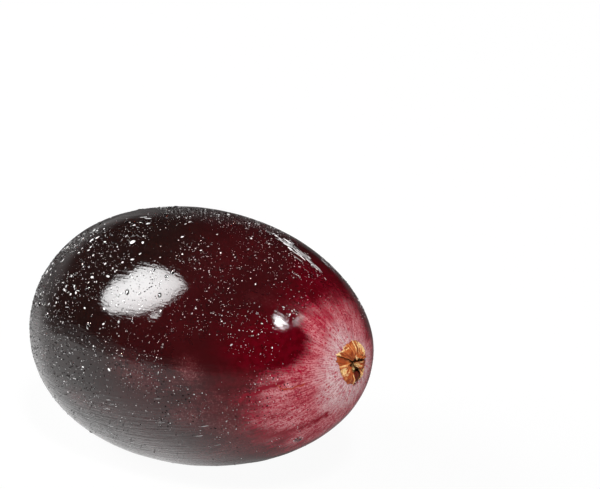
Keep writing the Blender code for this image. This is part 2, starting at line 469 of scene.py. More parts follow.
def skinLook():
    look = Look("wineSkin", Specular_IOR_Level=0.5, IOR=1.45, Subsurface_Weight=0.1, Subsurface_Scale=0.0005)
    look.shader.inputs["Subsurface Radius"].default_value = (1.0, 0.35, 0.25)
    meridian = look.attribute("meridian", "Vector")
    place = look.place()
    broadStreaks = look.noise(look.stretched(meridian, (1.0, 1.0, 0.9)), 7.0, 3.0, 0.6)
    streaks = look.noise(look.stretched(meridian, (1.0, 1.0, 0.8)), 22.0, 3.0, 0.65)
    fineStreaks = look.noise(look.stretched(meridian, (1.0, 1.0, 0.65)), 58.0, 2.0, 0.6)
    blotches = look.noise(place, 520.0, 4.0, 0.6)
    mottle = look.noise(place, 3400.0, 3.0, 0.6)
    grain = look.noise(place, 10500.0, 2.0, 0.7)

    # each border is moved by noise: wide blotches, streaks along the fruit and fine grain
    moved = (blotches - 0.5) * 1.9 + (streaks - 0.5) * 1.0 + (fineStreaks - 0.5) * 0.9 + (mottle - 0.5) * 1.3
    white = look.attribute("pastWhite") + moved * 0.9 + (grain - 0.5) * 2.6
    pink = look.attribute("pastPink") + moved + (grain - 0.5) * 2.2
    red = look.attribute("pastRed") + (blotches - 0.5) * 2.0 + (streaks - 0.5) * 0.8

    tone = fineStreaks * 0.34 + streaks * 0.12 + mottle * 0.14 + grain * 0.4
    palest = look.mix(tone.step(0.43, 0.53), (0.31, 0.06, 0.084), (0.49, 0.35, 0.35))
    rose = look.mix(tone.step(0.43, 0.56), (0.25, 0.007, 0.022), (0.46, 0.18, 0.194))
    deepRose = look.mix(tone.step(0.43, 0.59), (0.19, 0.003, 0.014), (0.355, 0.059, 0.076))
    rose = look.mix((broadStreaks * 0.5 + blotches * 0.5).step(0.46, 0.6), rose, deepRose)
    crimson = look.mix(mottle.step(0.35, 0.65), (0.051, 0.0002, 0.002), (0.08, 0.0006, 0.004))
    wine = look.mix(blotches.step(0.35, 0.7), (0.02, 0.002, 0.0024), (0.03, 0.0023, 0.003))
    black = look.mix(mottle.step(0.35, 0.7), (0.0072, 0.0027, 0.0023), (0.011, 0.0038, 0.0032))
    colour = look.mix(white.step(-0.9, 1.1), palest, rose)
    colour = look.mix(pink.step(-0.8, 0.8), colour, crimson)
    colour = look.mix(red.step(-1.3, 0.6), colour, wine)
    colour = look.mix(red.step(1.4, 3.8), colour, black)

    # red specks and short dashes over the pale end, dark streaks, one dry scratch, pale hazes under the skin
    specks = look.cells(place, 4300.0).step(0.32, 0.2) * (blotches * 0.5 + mottle * 0.5).step(0.46, 0.52)
    dashes = look.noise(look.stretched(meridian, (1.0, 1.0, 0.9)), 52.0, 1.0).step(0.58, 0.66)
    specks = specks.maths("MAXIMUM", dashes * 0.7) * pink.step(0.9, -0.3)
    colour = look.mix(specks * 0.85, colour, (0.28, 0.004, 0.022))
    streak = (look.attribute("redStreak") + (mottle - 0.5) * 1.6 + (fineStreaks - 0.5) * 1.8).step(0.22, 0.85)
    colour = look.mix(streak * look.attribute("redStreak").step(0.02, 0.25), colour, (0.165, 0.001, 0.009))
    width = ripening["scratchWidth"]
    offLine = (look.attribute("scratch") + (mottle - 0.5) * 0.06).maths("ABSOLUTE")
    line = offLine.step(1.3 * width, 0.5 * width) * grain.step(0.3, 0.5)
    colour = look.mix(line, colour, (0.27, 0.026, 0.01))
    haze = look.attribute("haze") * (blotches * 0.4 + fineStreaks * 0.3 + mottle * 0.3).step(0.38, 0.58)
    paleGrain = look.mix(grain.step(0.5, 0.66), (0.115, 0.014, 0.018), (0.3, 0.1, 0.1))
    colour = look.mix(haze, colour, paleGrain)

    scar = look.attribute("scar")
    cork = look.mix(look.noise(place, 6000.0, 4.0).step(0.35, 0.65), (0.16, 0.08, 0.035), (0.4, 0.26, 0.13))
    colour = look.mix(scar, colour, cork)
    look.feed("Base Color", colour)

    dryEnd = white.step(0.8, -1.0)
    look.feed("Roughness", (0.03 + pink.step(0.2, -1.4) * 0.05 + dryEnd * 0.22 + scar * 0.5).clamped())
    film = look.noise(look.stretched(meridian, (3.0, 3.0, 5.0)), 22.0, 3.0, 0.5)
    ripples = look.noise(look.stretched(meridian, (1.0, 1.0, 0.3)), 34.0, 3.0, 0.6)
    normal = look.bumped(grain * (0.05 + dryEnd), 0.004 * mm)
    rippled = ripples * (0.7 + look.attribute("pastRed").step(2.5, 5.5) * 1.1)
    normal = look.bumped(rippled, 0.007 * mm, normal)
    creases = look.noise(look.stretched(meridian, (1.0, 1.0, 0.3)), 46.0, 4.0, 0.7)
    normal = look.bumped(creases * look.attribute("creased"), 0.075 * mm, normal)
    look.feed("Normal", look.bumped(film, 0.005 * mm, normal))
    return look.material


# Calyx: four dry lobes folded over the tip, the fourth in three parts, and the dish under them

calyx = {
    "thickness": 0.045 * mm,
    "sunk": 0.06 * mm,  # how far a lobe's outer edge starts below the skin
    "edgeRise": 0.035 * mm,  # how far it stands over the skin just inside that edge
    "ribHeight": 0.01 * mm,
    "dishRadius": 1.0 * mm,
    "dishSunk": 0.1 * mm,
    "dishDepth": 0.22 * mm,
    "dishCrease": 0.015 * mm,
    "dishFoot": 0.02 * mm,  # how far over the floor of the seat the dish begins
    "crumb": 0.02 * mm,
    "crumbPitch": 0.16 * mm,
    "stubPlace": (0.16 * mm, -0.4 * mm),  # across and up
    "stubHeight": 0.17 * mm,
    "jag": 0.018 * mm,
    "wrinkle": 0.012 * mm,
    "alongSteps": 56,
    "acrossSteps": 72,
}

# sides: degrees round the fruit of a lobe's two sides; bow: degrees that they bend half way; crown and sink:
# mm that it rises and sinks again; curls: mm that the sides stand up; edge: its outer radius in mm by place
# between the sides; tip: its tip line's two ends, as mm across and up; folds: (place, half width, height in
# mm); straw, russet, shade and blood: (along, across, half sizes, strength) of those colours' patches. The
# shade patches are painted shade in the gaps and under lifted lobe edges. The russet ones are partly the
# husk's own red-brown and partly painted shade beside the overlapping edges
lobes = (
    {"name": "topLobe", "sides": (147.5, 62.0), "bow": 0.0, "crown": 0.11, "sink": 0.1, "curls": (0.1, 0.02),
     "edge": ((0.0, 1.32), (0.09, 1.19), (0.2, 1.06), (0.27, 0.99), (0.33, 1.08), (0.45, 1.08), (0.58, 1.06),
              (0.78, 1.12), (1.0, 1.15)),
     "tip": ((-0.2, 0.21), (0.24, 0.14)), "ribs": 9.0,
     "folds": ((0.36, 0.06, -0.06), (0.62, 0.05, 0.04), (0.93, 0.05, 0.05), (0.16, 0.08, 0.05)),
     "straw": ((0.25, 0.8, 0.45, 0.03, 1.0), (0.35, 0.95, 0.45, 0.03, 0.9), (0.04, 0.22, 0.07, 0.2, 1.2),
               (0.08, 0.03, 0.2, 0.05, 0.9), (0.92, 0.75, 0.1, 0.3, 0.6), (0.23, 0.41, 0.035, 0.09, 1.0)),
     "russetAndShade": ((0.55, 0.13, 0.3, 0.07, 0.8), (0.95, 0.4, 0.25, 0.35, 0.5)),
     "shade": ((0.6, 0.34, 0.3, 0.03, 0.6), (0.45, 0.875, 0.4, 0.022, 0.9), (0.17, 0.43, 0.025, 0.08, 0.5)),
     "seed": 11},
    {"name": "upperRightLobe", "sides": (61.0, -2.0), "bow": 2.0, "crown": 0.08, "sink": 0.1,
     "curls": (0.01, 0.08),
     "edge": ((0.0, 1.16), (0.22, 1.12), (0.46, 1.16), (0.66, 1.16), (0.88, 1.1), (1.0, 1.06)),
     "tip": ((0.24, 0.16), (0.7, 0.01)), "ribs": 9.0,
     "folds": ((0.25, 0.05, 0.05), (0.5, 0.06, -0.06), (0.72, 0.06, 0.05)),
     "straw": ((0.15, 0.2, 0.3, 0.16, 0.8), (0.2, 0.6, 0.4, 0.22, 1.0), (0.97, 0.45, 0.06, 0.4, 0.5)),
     "russetAndShade": ((0.6, 0.1, 0.4, 0.07, 0.8), (0.45, 0.9, 0.5, 0.13, 1.0)),
     "shade": ((0.45, 0.3, 0.28, 0.045, 0.9), (0.7, 0.62, 0.12, 0.07, 0.7)), "seed": 12},
    {"name": "leftLobe", "sides": (148.5, 264.0), "bow": -2.0, "crown": 0.09, "sink": 0.07,
     "curls": (-0.04, 0.05),
     "edge": ((0.0, 1.24), (0.08, 1.2), (0.135, 1.22), (0.18, 1.06), (0.26, 0.97), (0.36, 0.93), (0.46, 0.94),
              (0.58, 0.98), (0.63, 1.05), (0.76, 1.08), (0.85, 1.13), (0.92, 1.16), (1.0, 1.11)),
     "tip": ((-0.34, 0.24), (-0.27, -0.36)), "ribs": 9.0,
     "folds": ((0.3, 0.07, 0.05), (0.52, 0.06, -0.05), (0.74, 0.08, 0.05)),
     "straw": ((0.25, 0.46, 0.26, 0.13, 1.1), (0.22, 0.26, 0.3, 0.018, 0.6), (0.45, 0.64, 0.3, 0.05, 0.5)),
     "russetAndShade": ((0.4, 0.1, 0.55, 0.1, 0.7), (0.1, 0.76, 0.16, 0.12, 0.5), (0.5, 0.955, 0.6, 0.035, 0.9)),
     "shade": ((0.45, 0.015, 0.6, 0.025, 0.8), (0.95, 0.25, 0.14, 0.25, 0.5), (0.45, 0.985, 0.6, 0.02, 0.5)),
     "seed": 13},
    {"name": "innerFold", "sides": (261.5, 293.0), "bow": 0.0, "crown": 0.05, "sink": 0.14,
     "curls": (0.0, -0.03),
     "edge": ((0.0, 1.16), (0.25, 1.24), (0.42, 1.3), (0.6, 1.29), (0.8, 1.2), (1.0, 1.12)),
     "tip": ((-0.14, -0.62), (0.42, -0.6)), "ribs": 3.0,
     "folds": ((0.17, 0.06, 0.07), (0.6, 0.25, -0.07)),
     "straw": ((0.4, 0.17, 0.7, 0.055, 1.0),),
     "russetAndShade": ((0.5, 0.02, 0.9, 0.1, 0.6),),
     "shade": ((0.2, 0.8, 0.6, 0.2, 0.9),), "blood": ((0.45, 0.66, 0.9, 0.38, 1.4),), "seed": 14},
    {"name": "lowerLobe", "sides": (291.0, 326.0), "bow": 0.0, "crown": 0.1, "sink": 0.05,
     "curls": (0.05, 0.0),
     "edge": ((0.0, 1.14), (0.15, 1.22), (0.55, 1.22), (1.0, 1.12)),
     "tip": ((0.37, -0.5), (0.45, -0.34)), "ribs": 5.0,
     "folds": ((0.4, 0.1, 0.05), (0.7, 0.08, -0.05)),
     "straw": ((0.25, 0.2, 0.8, 0.22, 1.2), (0.4, 0.72, 0.6, 0.22, 1.0)),
     "shade": ((0.4, 0.48, 0.3, 0.05, 0.4),), "seed": 15},
    {"name": "rightLobe", "sides": (321.0, 355.5), "bow": -4.0, "crown": 0.12, "sink": 0.12,
     "curls": (0.02, 0.02),
     "edge": ((0.0, 1.02), (0.3, 1.09), (0.6, 1.11), (1.0, 1.07)),
     "tip": ((0.08, -0.18), (0.02, -0.03)), "ribs": 5.0,
     "folds": ((0.35, 0.1, 0.05), (0.7, 0.08, -0.04)),
     "straw": ((1.0, 0.4, 0.42, 0.55, 1.0), (0.55, 0.93, 0.22, 0.08, 0.8)),
     "russetAndShade": ((0.1, 0.5, 0.4, 0.8, 1.2),),
     "shade": ((0.4, 0.0, 0.2, 0.06, 0.6),), "blood": ((0.3, 0.1, 0.2, 0.16, 1.0),), "seed": 16},
)


def spots(along, across, marks):  # the sum of all marks' bells, no more than 1
    total = np.zeros(along.shape)
    for middle, place, length, width, strength in marks:
        total += strength * bell(along, middle, length) * bell(across, place, width)
    return np.minimum(total, 1.0)


def lobeSurface(lobe, along, across):
    # along runs from the outer edge to the tip line, across from side to side: straight lines from edge to
    # tip line, their sides bowed; height over the fruit's outline rises steeply from the sunk edge to the
    # crown and sinks again to the tip, with folds as bells, ribs as cosines of across and wrinkles over all
    def rough(alongPitch, acrossPitch, count, seed):
        way = np.stack([acrossPitch * across, alongPitch * along], axis=-1)
        return waves(way, 1.0, count, lobe["seed"] + seed)

    first, last = lobe["sides"]
    angle = np.radians(first + (last - first) * across)
    edge = eased(across, lobe["edge"]) * mm + calyx["jag"] * rough(0.2, 9.0, 8, 0)
    angle = angle + math.radians(lobe["bow"]) * np.sin(np.pi * along)
    (tipY, tipZ), (endY, endZ) = lobe["tip"]
    ragged = along * (1.0 + 0.05 * rough(0.1, 7.0, 8, 40))
    y = edge * np.cos(angle) * (1.0 - ragged) + (tipY + (endY - tipY) * across) * mm * ragged
    z = edge * np.sin(angle) * (1.0 - ragged) + (tipZ + (endZ - tipZ) * across) * mm * ragged
    cap = outline(turnAt(np.hypot(y, z)))[0]
    height = -calyx["sunk"] * (1.0 - smoothStep(0.0, 0.07, along))
    height += calyx["edgeRise"] * smoothStep(0.0, 0.1, along)
    sinking = lobe["sink"] * mm * smoothStep(0.55, 1.0, along)
    height += lobe["crown"] * mm * smoothStep(0.05, 0.45, along) - sinking
    middlePart = smoothStep(0.04, 0.2, along)
    for place, width, rise in lobe["folds"]:
        height += rise * mm * bell(across, place, width) * middlePart
    ribs = np.cos(lobe["ribs"] * np.pi * (across + 0.05 * np.sin(4.0 * along + lobe["seed"])))
    height += calyx["ribHeight"] * ribs * middlePart
    firstCurl, lastCurl = lobe["curls"]
    height += mm * middlePart * (firstCurl * bell(across, 0.0, 0.06) + lastCurl * bell(across, 1.0, 0.05))
    wrinkleWay = np.stack([2.2 * along, 5.0 * across], axis=-1)
    height += calyx["wrinkle"] * middlePart * waves(wrinkleWay, 1.0, 14, lobe["seed"] + 80)
    return np.stack([cap + height, y, z], axis=-1)


def makeLobes():
    for lobe in lobes:
        along, across = np.meshgrid(np.linspace(0.0, 1.0, calyx["alongSteps"]),
                                    np.linspace(0.0, 1.0, calyx["acrossSteps"]), indexing="ij")
        points = placed(lobeSurface(lobe, along, across).reshape(-1, 3) @ raiseTurn.T)
        way = np.stack([along.ravel(), across.ravel(), np.full(along.size, lobe["seed"])], axis=-1)
        patches = {colour: spots(along, across, lobe.get(colour, ())).ravel()
                   for colour in ("straw", "russetAndShade", "shade", "blood")}
        faces = sheetFaces(*along.shape).tolist()
        piece = meshPiece(lobe["name"], points, faces, {"lobeWay": way, **patches})
        facing = sum((polygon.normal for polygon in piece.data.polygons), Vector())
        if np.array(facing) @ raiseTurn[:, 0] < 0.0:
            piece.data.flip_normals()
        wall = piece.modifiers.new("thickness", "SOLIDIFY")
        wall.thickness = calyx["thickness"]
        wall.offset = -1.0
        piece.data.materials.append(huskMaterial)
        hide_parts("calyx")
        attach(piece, "root")


def makeDish():
    # the dish under the lobes sinks evenly to the middle, with creases as cosines of the angle, crumbs as
    # waves and the low stub of the flower's style as a bell
    sides, count = 120, 40
    share, angle = np.meshgrid(np.linspace(1.0, 0.0, count),
                               np.linspace(-np.pi, np.pi, sides, endpoint=False), indexing="ij")
    radius = calyx["dishRadius"] * share
    y, z = radius * np.cos(angle), radius * np.sin(angle)
    stubY, stubZ = calyx["stubPlace"]
    stubGap = np.hypot(y - stubY, z - stubZ)
    cap = outline(turnAt(radius))[0]
    height = cap - calyx["dishSunk"] - calyx["dishDepth"] * (1.0 - share**2)
    height += calyx["dishCrease"] * np.cos(14.0 * angle) * share
    crumbs = waves(np.stack([y, z], axis=-1), calyx["crumbPitch"], 16, 61)
    height += calyx["crumb"] * crumbs * (1.0 - smoothStep(0.9, 1.0, share))
    height += calyx["stubHeight"] * bell(stubGap, 0.0, 0.12 * mm)
    top = np.stack([height, y, z], axis=-1)
    footPlace = seatFloor + calyx["dishFoot"]
    foot = np.stack([footPlace + 0.0 * angle[0], 0.9 * y[0], 0.9 * z[0]], axis=-1)
    pole = np.broadcast_to(np.array([footPlace, 0.0, 0.0]), (sides, 3))
    points, faces = closedRings(placed(np.concatenate([pole[None], foot[None], top]) @ raiseTurn.T))
    stub = np.vstack([np.zeros((2, sides)), bell(stubGap, 0.0, 0.1 * mm)])
    piece = meshPiece("calyxDish", points, faces, {"stub": ringValues(stub)})
    piece.data.materials.append(dishLook())
    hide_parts("calyx")
    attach(piece, "root")


def huskLook():
    look = Look("dryHusk", Specular_IOR_Level=0.25)
    way = look.attribute("lobeWay", "Vector")
    fibre = look.noise(look.stretched(way, (1.6, 13.0, 3.7)), 1.0, 4.0, 0.65)
    patch = look.noise(look.stretched(way, (2.4, 3.2, 5.1)), 1.4, 3.0, 0.55)
    grain = look.noise(look.place(), 14000.0, 2.0)
    moved = (patch - 0.5) * 0.9 + (fibre - 0.5) * 0.7 + (grain - 0.5) * 0.5
    colour = look.mix(patch.step(0.4, 0.6), (0.285, 0.045, 0.009), (0.4, 0.098, 0.025))
    colour = look.mix(fibre.step(0.53, 0.62) * 0.8, colour, (0.54, 0.225, 0.075))
    colour = look.mix(fibre.step(0.47, 0.37) * 0.8, colour, (0.15, 0.024, 0.006))
    # partly painted shade: these red-brown patches are the husk's own colour, and beside the overlapping lobe
    # edges they also stand in for the shade there
    colour = look.mix((look.attribute("russetAndShade") + moved).step(0.25, 0.85), colour, (0.21, 0.042, 0.014))
    straw = look.mix(grain.step(0.35, 0.65), (0.54, 0.3, 0.095), (0.76, 0.55, 0.28))
    colour = look.mix((look.attribute("straw") + moved).step(0.25, 0.8), colour, straw)
    colour = look.mix((look.attribute("blood") + moved).step(0.25, 0.8), colour, (0.085, 0.009, 0.004))
    # painted shade: the shade patches darken the husk in the gaps between lobes and under their lifted edges
    colour = look.mix((look.attribute("shade") + moved * 0.7).step(0.25, 0.8), colour, (0.07, 0.024, 0.009))
    look.feed("Base Color", colour)
    look.feed("Roughness", 0.55 + fibre * 0.3)
    look.feed("Normal", look.bumped(fibre * 0.7 + grain * 0.3, 0.034 * mm))
    return look.material


def dishLook():
    look = Look("darkDish", Specular_IOR_Level=0.2)
    grain = look.noise(look.place(), 9000.0, 4.0)
    patch = look.noise(look.place(), 3200.0, 2.0)
    colour = look.mix(grain.step(0.35, 0.7), (0.04, 0.013, 0.005), (0.17, 0.07, 0.024))
    colour = look.mix(patch.step(0.44, 0.6) * 0.8, colour, (0.27, 0.15, 0.055))
    stub = (look.attribute("stub") + (grain - 0.5) * 1.5).step(0.4, 0.9)
    look.feed("Base Color", look.mix(stub, colour, (0.7, 0.5, 0.22)))
    look.feed("Roughness", 0.7 + grain * 0.2)
    look.feed("Normal", look.bumped(grain, 0.02 * mm))
    return look.material


# Water: fine mist, beads painted dark, small and larger drops, one hanging drop, wet runs, flecks and dried
# scrapes; the mist, the named white drops, the runs and the flecks carry painted glints in their colour

# radius: in mm; skew: above 1 makes small ones the more common; contact: range of the angle in degrees at
# which a drop meets the skin; favourStalk: how much more often they lie at the stalk half; upper: from which
# to which slant of the skin they grow common, as the height of its normal; calyxSize: how large they are at
# the calyx half compared with the stalk half; gleam: how white they are painted, a painted glint in place of
# the light that clear drops would mirror; dull: the share painted dark, with no painted glint
usualDrops = {"rings": 2, "skew": 1.6, "stretch": (1.0, 1.5), "favourStalk": 0.1, "upper": (-0.75, 0.3),
              "calyxSize": 1.0, "gleam": (0.0, 0.0), "paintedDarkShare": 0.0}
water = {
    "dust": {**usualDrops, "name": "mistDust", "count": 9000, "radius": (0.01, 0.02), "skew": 1.3,
             "sides": 4, "contact": (60.0, 85.0), "stretch": (1.0, 1.4), "upper": (-0.85, 0.2),
             "gleam": (0.4, 0.95), "paintedDarkShare": 0.15, "seed": 30},
    "fine": {**usualDrops, "name": "mistFine", "count": 3900, "radius": (0.018, 0.033), "sides": 6,
             "contact": (50.0, 80.0), "gleam": (0.45, 1.0), "paintedDarkShare": 0.25, "seed": 31},
    "dark": {**usualDrops, "name": "paintedDarkBeads", "count": 6000, "radius": (0.025, 0.044), "skew": 1.8,
             "sides": 5, "contact": (40.0, 60.0), "seed": 36},
    "small": {**usualDrops, "name": "mistDrops", "count": 430, "radius": (0.036, 0.085), "skew": 2.6,
              "rings": 3, "sides": 8, "contact": (40.0, 65.0), "stretch": (1.0, 2.1), "favourStalk": 1.6,
              "upper": (-0.15, 0.5), "calyxSize": 0.62, "gleam": (0.6, 1.0), "paintedDarkShare": 0.2, "seed": 32},
    "large": {**usualDrops, "name": "largeDrops", "count": 60, "radius": (0.1, 0.17), "skew": 2.2,
              "rings": 6, "sides": 18, "contact": (35.0, 55.0), "favourStalk": 4.0, "upper": (-0.1, 0.5),
              "seed": 33},
    # (share, degrees, radius in mm, stretch) of the drops that stand out
    "named": ((0.536, 117.6, 0.165, 1.15), (0.628, 115.6, 0.075, 1.9), (0.408, 100, 0.08, 1.3),
              (0.359, 91.8, 0.07, 1.2), (0.562, 131.2, 0.065, 1.3), (0.527, 129.4, 0.07, 1.2),
              (0.542, 137.2, 0.06, 2.4), (0.648, 122.6, 0.06, 1.3), (0.691, 129, 0.07, 2.2),
              (0.456, 111.2, 0.055, 1.1), (0.585, 104, 0.06, 1.8), (0.2445, -114.4, 0.03, 1.8),
              (0.2405, -116.2, 0.026, 1.8), (0.233, -116.8, 0.03, 1.5), (0.2265, -115, 0.026, 1.8),
              (0.226, -112.4, 0.03, 1.5), (0.231, -111, 0.026, 1.8), (0.239, -111.4, 0.03, 1.8)),
    "hanging": ((0.235, -113.8, 0.22, 1.3),),
    "namedContact": 46.0,
    # (share, degrees, half sizes in share and degrees, count) of each cluster of flat drops
    "runs": ((0.27, 60, 0.01, 1.6, 20), (0.25, 58.5, 0.014, 1.6, 34), (0.222, 56, 0.014, 1.6, 34),
             (0.302, 75.5, 0.016, 2.8, 60), (0.262, 74.8, 0.02, 2.2, 50), (0.228, 73.5, 0.014, 1.4, 20),
             (0.345, 75, 0.018, 1.6, 12), (0.56, 98, 0.035, 3, 10)),
    "flecks": ((0.184, 124, 0.007, 1, 9), (0.168, 124, 0.009, 1.4, 12), (0.155, 128, 0.005, 1, 8),
               (0.182, 135, 0.006, 1, 7), (0.238, 96, 0.006, 0.8, 5)),
    "scrapes": ((0.5, -165, 0.04, 5, 12), (0.58, -143, 0.05, 8, 26), (0.45, -148, 0.06, 9, 14),
                (0.64, -160, 0.04, 8, 12), (0.56, 150, 0.06, 9, 8), (0.7, 120, 0.05, 9, 14)),
    # flat drops and scrapes are painted white by the amounts below: a painted glint on the wet runs and
    # flecks, the pale of the dried scrapes
    "flatContact": (25.0, 45.0),
    "flatPaintedGlintAndPale": (0.25, 1.0),
}


def wetness(turn, normal, drops):
    # how much water lies there: it settles on the upper side, little near the calyx
    share = turn / np.pi
    favourStalk = drops["favourStalk"]
    upper = 0.03 + 0.97 * smoothStep(*drops["upper"], normal[..., 2])
    calyxEnd = 0.05 + 0.95 * smoothStep(0.11, 0.24, share)
    stalkEnd = 1.0 + favourStalk * smoothStep(0.4, 0.6, share)
    return upper * calyxEnd * stalkEnd / (1.0 + favourStalk)


def scatter(drops, draw):
    # turns and angles drawn evenly over the skin, kept with a chance equal to the wetness there
    turns, angles = [], []
    batch = 4000
    while len(turns) < drops["count"]:
        turn = draw.uniform(0.06 * np.pi, 0.97 * np.pi, batch)
        angle = draw.uniform(-np.pi, np.pi, batch)
        radius = outline(turn)[1]
        slant = np.hypot(fruit["halfLength"] * np.sin(turn), fruit["halfWidth"] * np.cos(turn))
        area = radius * slant / (fruit["halfWidth"] * fruit["halfLength"])
        kept = draw.uniform(size=batch) < area * wetness(turn, skinNormals(turn, angle), drops)
        turns.extend(turn[kept])
        angles.extend(angle[kept])
    return np.array(turns[:drops["count"]]), np.array(angles[:drops["count"]])


def dropMesh(drops, turn, angle, radius, contact, stretch, way, gleam, material):
    # each drop is a cap of a sphere cut by its contact angle and stretched along its way, its rim in the skin
    count = len(turn)
    normal = skinNormals(turn, angle)
    centre = placed(smoothFruit(turn, angle))
    sideways = way - np.sum(way * normal, axis=-1, keepdims=True) * normal
    sideways /= np.linalg.norm(sideways, axis=-1, keepdims=True)
    other = np.cross(normal, sideways)
    rings, sides = drops["rings"], drops["sides"]
    level = np.arange(rings) / rings
    around = np.linspace(0.0, 2.0 * np.pi, sides, endpoint=False)
    tilt = contact[:, None] * (1.0 - level)[None, :]
    ball = radius / np.sin(contact)
    sunk = 0.1 * radius + 0.004 * mm
    flat = ball[:, None] * np.sin(tilt)
    tall = ball[:, None] * (np.cos(tilt) - np.cos(contact)[:, None]) - sunk[:, None]
    rim = (flat[..., None] * stretch[:, None, None] * np.cos(around))[..., None] * sideways[:, None, None, :]
    rim = rim + (flat[..., None] * np.sin(around))[..., None] * other[:, None, None, :]
    body = centre[:, None, None, :] + rim + tall[..., None, None] * normal[:, None, None, :]
    top = centre + (ball * (1.0 - np.cos(contact)) - sunk)[:, None] * normal
    foot = centre - sunk[:, None] * normal
    points = np.concatenate([body.reshape(count, -1, 3), top[:, None], foot[:, None]], axis=1)
    points[..., 2] = np.maximum(points[..., 2], 0.0)
    each = rings * sides + 2
    side = np.arange(sides)
    after = (side + 1) % sides
    topRing = (rings - 1) * sides
    topFan = np.stack([side + topRing, after + topRing, np.full(sides, each - 2)], axis=-1)
    footFan = np.stack([after, side, np.full(sides, each - 1)], axis=-1)
    shift = (np.arange(count) * each)[:, None, None]
    faces = (ringFaces(rings, sides)[None] + shift).reshape(-1, 4).tolist()
    faces += (np.concatenate([topFan, footFan])[None] + shift).reshape(-1, 3).tolist()
    piece = meshPiece(drops["name"], points.reshape(-1, 3), faces, {"gleam": np.repeat(gleam, each)})
    piece.data.materials.append(material)
    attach(piece, "root")
    print(piece.name, "made:", count, "drops")


def makeDrops(drops, material):
    draw = np.random.default_rng(drops["seed"])
    turn, angle = scatter(drops, draw)
    count = len(turn)
    low, high = (radius * mm for radius in drops["radius"])
    radius = low + (high - low) * draw.uniform(size=count) ** drops["skew"]
    calyxSize = drops["calyxSize"]
    radius *= calyxSize + (1.0 - calyxSize) * smoothStep(0.3, 0.5, turn / np.pi)
    contact = np.radians(draw.uniform(*drops["contact"], count))
    stretch = draw.uniform(*drops["stretch"], count)
    gleam = draw.uniform(*drops["gleam"], count) * (draw.uniform(size=count) > drops["paintedDarkShare"])
    way = draw.normal(size=(count, 3))
    dropMesh(drops, turn, angle, radius, contact, stretch, way, gleam, material)


def makeNamedDrops(key, name, gleam, material):
    draw = np.random.default_rng(34)
    share, degrees, size, stretch = np.array(water[key]).T
    drops = {**water["large"], "name": name}
    contact = np.full(len(share), math.radians(water["namedContact"]))
    way = draw.normal(size=(len(share), 3))
    gleam = np.full(len(share), gleam)
    dropMesh(drops, share * np.pi, np.radians(degrees), size * mm, contact, stretch, way, gleam, material)


def makeRuns(key, name, size, stretch, material):
    # flat drops drawn out along the fruit, in a few clusters
    draw = np.random.default_rng(35)
    share = np.concatenate([draw.normal(place, wide, count) for place, _, wide, _, count in water[key]])
    degrees = np.concatenate([draw.normal(place, wide, count) for _, place, _, wide, count in water[key]])
    turn, angle = share * np.pi, np.radians(degrees)
    count = len(turn)
    way = smoothFruit(turn + 0.01, angle + draw.normal(0.0, 0.003, count)) - smoothFruit(turn - 0.01, angle)
    radius = draw.uniform(*size, count) * mm
    drops = {**water["small"], "name": name, "sides": 12}
    contact = np.radians(draw.uniform(*water["flatContact"], count))
    gleam = draw.uniform(*water["flatPaintedGlintAndPale"], count)
    stretch = draw.uniform(*stretch, count)
    dropMesh(drops, turn, angle, radius, contact, stretch, way, gleam, material)


def mistLook():  # specks of water painted milky grey to white: a painted glint in place of the light they would mirror, with a clear shine
    look = Look("mistWater", Roughness=0.12, IOR=1.5, Coat_Roughness=0.0, Coat_IOR=1.6)
    gleam = look.attribute("gleam")
    # painted glint: the base colour is painted whiter where drops stand in for mirrored light, and it also
    # gives the dried scrapes their pale
    look.feed("Base Color", look.grey(gleam * gleam * 0.95 + 0.015))
    look.feed("Coat Weight", gleam.step(0.0, 0.3))
    return look.material


def beadLook():  # beads painted black with no shine: painted dark dots in the highlights, in place of drops that mirror dark surroundings
    look = Look("paintedDarkWater", Base_Color=(0.006, 0.003, 0.003, 1.0), Roughness=0.5, Specular_IOR_Level=0.0)
    return look.material


def waterLook():
    look = Look("clearWater", Base_Color=(1.0, 1.0, 1.0, 1.0), Roughness=0.0, IOR=1.333,
                Transmission_Weight=1.0, Coat_Weight=1.0, Coat_Roughness=0.0, Coat_IOR=1.6)
    return look.material


# Camera, light and floor

view = {
    "azimuth": math.radians(41.0),
    "elevation": math.radians(20.0),
    "pictureWidth": 600.0,
    "pictureHeight": 489.0,
    "focal": 3000.0,  # in pixels of the picture
    "fruitMiddle": (202.2, 337.4),  # pixel where the middle of the fruit's axis falls
    "halfLengthPixels": 199.2,
    "sensor": 36.0,
}


def viewAxes():
    azimuth, elevation = view["azimuth"], view["elevation"]
    level = math.cos(elevation)
    toward = Vector((math.sin(azimuth) * level, -math.cos(azimuth) * level, math.sin(elevation)))
    right = Vector((math.cos(azimuth), math.sin(azimuth), 0.0))
    return right, toward.cross(right), toward


def makeCamera():
    right, up, toward = viewAxes()
    pixel = fruit["halfLength"] / view["halfLengthPixels"]
    x, y = view["fruitMiddle"]
    across, down = view["pictureWidth"] / 2.0 - x, y - view["pictureHeight"] / 2.0
    place = Vector(middleOfAxis) + toward * (view["focal"] * pixel)
    place += right * (across * pixel) + up * (down * pixel)
    camera = bpy.data.cameras.new("camera")
    camera.sensor_width = view["sensor"]
    camera.lens = view["focal"] * view["sensor"] / view["pictureWidth"]
    camera.clip_start = 0.005
    holder = bpy.data.objects.new("camera", camera)
    turn = Matrix((right, up, toward)).transposed()
    holder.matrix_world = Matrix.Translation(place) @ turn.to_4x4()
    bpy.context.scene.collection.objects.link(holder)
    bpy.context.scene.camera = holder


# Glowing panels that light the fruit and show in its gloss, with the glow of the middle and of the edge, and
# corners as directions from the fruit in degrees of elevation and azimuth, azimuth 0 straight away from the
# camera and 90 to its right. Those that aren't mirrored light the fruit without showing in its gloss

